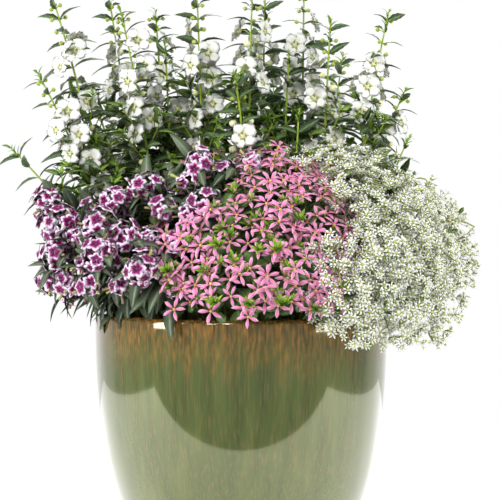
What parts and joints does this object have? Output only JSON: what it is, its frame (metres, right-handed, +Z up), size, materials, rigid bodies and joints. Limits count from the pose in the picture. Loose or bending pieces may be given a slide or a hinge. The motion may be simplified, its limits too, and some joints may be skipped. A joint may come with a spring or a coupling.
{
  "type": "potted angelonia",
  "caption": "Glazed round patio planter with white angelonia spires, purple and white phlox, pink fan flowers and airy white spurge growing from its potting mix.",
  "frame": {"origin": "centre of the pot's foot, on the surface it stands on", "axes": "+Z up along the pot's axis; -Y is the front, where the fan flowers hang over the rim; +X is the side of the spurge"},
  "size_m": [0.5752, 0.453, 0.748],
  "materials": {
    "pot_glaze": "glossy green glaze, rust brown at the rim, fine downward streaks",
    "potting_mix": "damp peat and bark crumbs, matt",
    "angelonia_green": "leaf green with a soft sheen, lime stems",
    "angelonia_petal": "white petals, faintly translucent",
    "angelonia_bud": "pale lime buds",
    "phlox_green": "grey green leaves with pale veins",
    "phlox_petal": "purple petals with white edges",
    "fan_flower_green": "fresh green leaves and tufts",
    "fan_flower_petal": "pink petals with a yellow throat",
    "spurge_green": "thin olive stems and small leaves",
    "spurge_bract": "tiny white bracts with a lime centre"
  },
  "bodies": {
    "root": {"pot": "pot_glaze", "potting_mix": "potting_mix", "angelonia_spire_01": "angelonia_green", "angelonia_spire_02": "angelonia_green", "angelonia_spire_03": "angelonia_green", "angelonia_spire_04": "angelonia_green", "angelonia_spire_05": "angelonia_green", "angelonia_spire_06": "angelonia_green", "angelonia_spire_07": "angelonia_green", "angelonia_spire_08": "angelonia_green", "angelonia_spire_09": "angelonia_green", "angelonia_spire_10": "angelonia_green", "angelonia_spire_11": "angelonia_green", "angelonia_spire_12": "angelonia_green", "angelonia_spire_13": "angelonia_green", "angelonia_spire_14": "angelonia_green", "angelonia_spire_15": "angelonia_green", "angelonia_spire_16": "angelonia_green", "angelonia_spire_17": "angelonia_green", "angelonia_spire_18": "angelonia_green", "angelonia_leafy_shoot_01": "angelonia_green", "angelonia_leafy_shoot_02": "angelonia_green", "angelonia_leafy_shoot_03": "angelonia_green", "angelonia_leafy_shoot_04": "angelonia_green", "angelonia_leafy_shoot_05": "angelonia_green", "angelonia_leafy_shoot_06": "angelonia_green", "angelonia_leafy_shoot_07": "angelonia_green", "phlox_stem_01": "phlox_green", "phlox_stem_02": "phlox_green", "phlox_stem_03": "phlox_green", "phlox_stem_04": "phlox_green", "phlox_stem_05": "phlox_green", "phlox_stem_06": "phlox_green", "phlox_stem_07": "phlox_green", "phlox_stem_08": "phlox_green", "phlox_stem_09": "phlox_green", "phlox_stem_10": "phlox_green", "phlox_stem_11": "phlox_green", "phlox_stem_12": "phlox_green", "phlox_stem_13": "phlox_green", "fan_flower_stem_01": "fan_flower_green", "fan_flower_stem_02": "fan_flower_green", "fan_flower_stem_03": "fan_flower_green", "fan_flower_stem_04": "fan_flower_green", "fan_flower_stem_05": "fan_flower_green", "fan_flower_stem_06": "fan_flower_green", "fan_flower_stem_07": "fan_flower_green", "fan_flower_stem_08": "fan_flower_green", "fan_flower_stem_09": "fan_flower_green", "fan_flower_stem_10": "fan_flower_green", "spurge_stem_01": "spurge_green", "spurge_stem_02": "spurge_green", "spurge_stem_03": "spurge_green", "spurge_stem_04": "spurge_green", "spurge_stem_05": "spurge_green", "spurge_stem_06": "spurge_green", "spurge_stem_07": "spurge_green", "spurge_stem_08": "spurge_green", "spurge_stem_09": "spurge_green", "spurge_stem_10": "spurge_green"}
  },
  "joints": []
}
